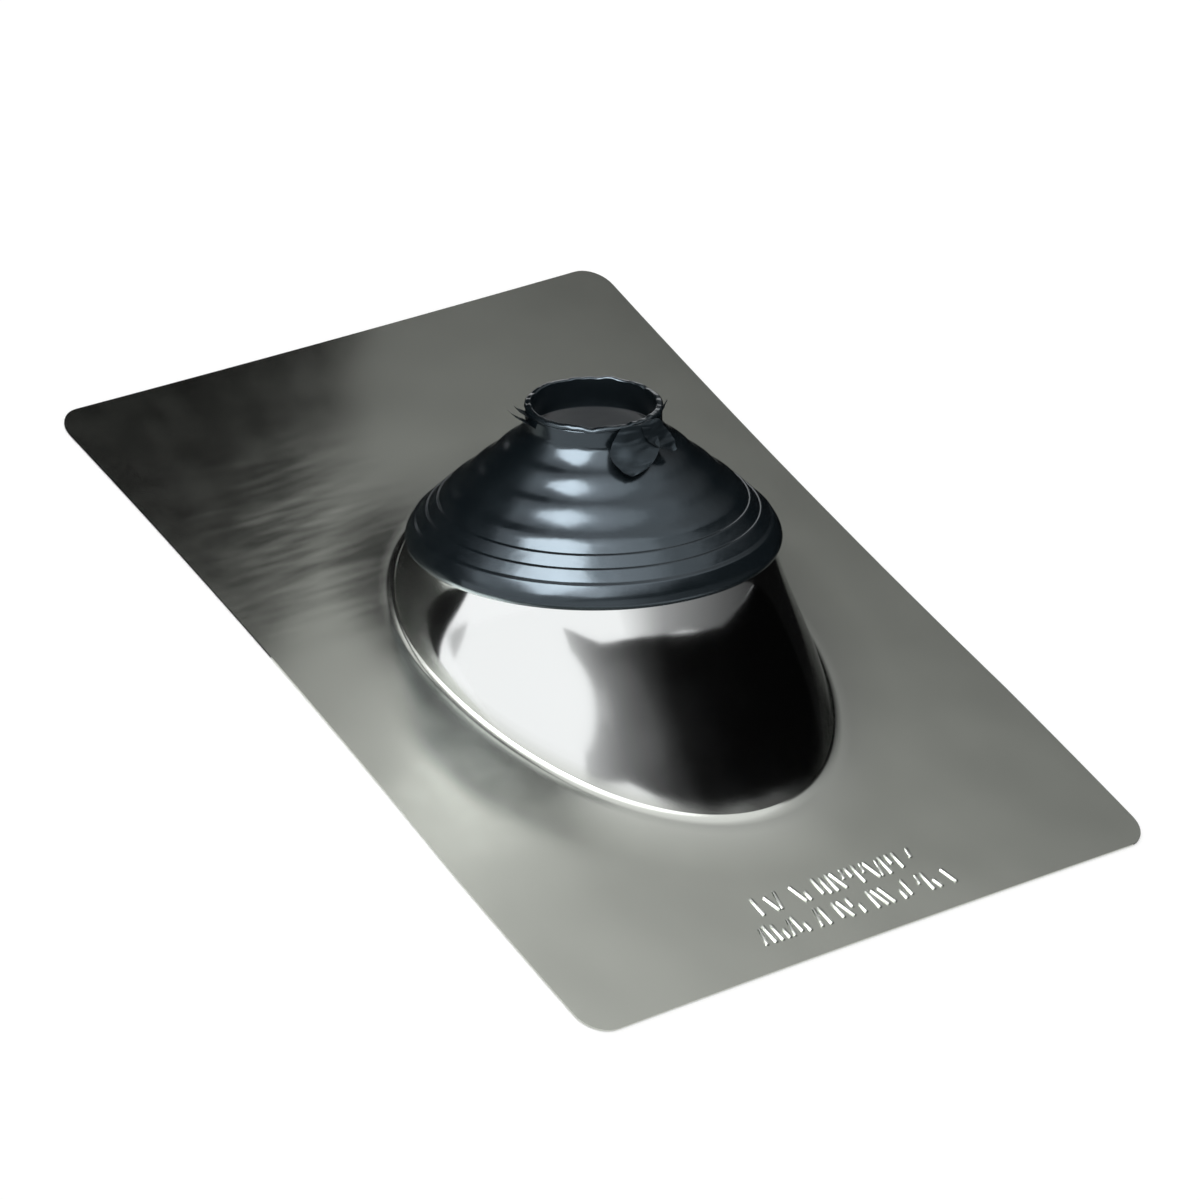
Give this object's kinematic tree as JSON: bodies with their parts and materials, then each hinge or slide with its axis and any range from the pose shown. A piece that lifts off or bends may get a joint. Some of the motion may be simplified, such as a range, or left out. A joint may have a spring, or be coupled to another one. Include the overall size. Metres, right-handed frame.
{
  "type": "pipe flashing boot",
  "caption": "Roof flashing for a vent pipe: drawn steel base plate with an oblique collar, and a stepped rubber boot snapped over its rim that seals on the pipe.",
  "frame": {"origin": "centre of the base plate's underside, on the roof deck", "axes": "+Z off the roof, +Y up the roof slope along the plate's length, +X across; the pipe leans from +Z towards +Y by the roof pitch"},
  "size_m": [0.2794, 0.368, 0.0968],
  "materials": {
    "galvanised_steel": "rolled sheet with a soft sheen, polished where it was drawn",
    "black_rubber": "glossy moulded rubber"
  },
  "bodies": {
    "root": {"base_flashing": "galvanised_steel", "rubber_boot": "black_rubber"}
  },
  "joints": []
}
